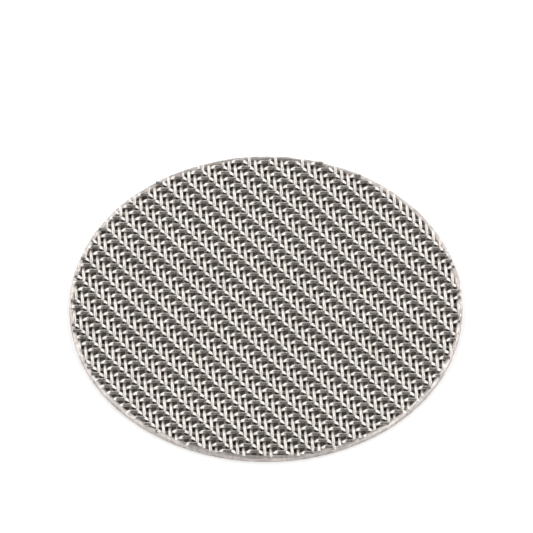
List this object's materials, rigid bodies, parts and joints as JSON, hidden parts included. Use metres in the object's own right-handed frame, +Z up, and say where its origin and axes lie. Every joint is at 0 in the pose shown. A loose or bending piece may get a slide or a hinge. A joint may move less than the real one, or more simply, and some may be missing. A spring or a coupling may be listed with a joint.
{
  "type": "wire mesh filter disc",
  "caption": "Round flat filter disc of twill-woven steel wire with a smooth fused rim, laid in a basket or holder to strain and spread a liquid.",
  "frame": {"origin": "centre of the disc on the plane it lies on", "axes": "+Z up through the disc's thickness, +Y along the warp wires, +X along the weft wires"},
  "size_m": [0.0584, 0.0584, 0.0011],
  "materials": {
    "wire_steel": "bright drawn stainless wire, satin where the rim is fused"
  },
  "bodies": {
    "root": {"filter_disc": "wire_steel"}
  },
  "joints": []
}
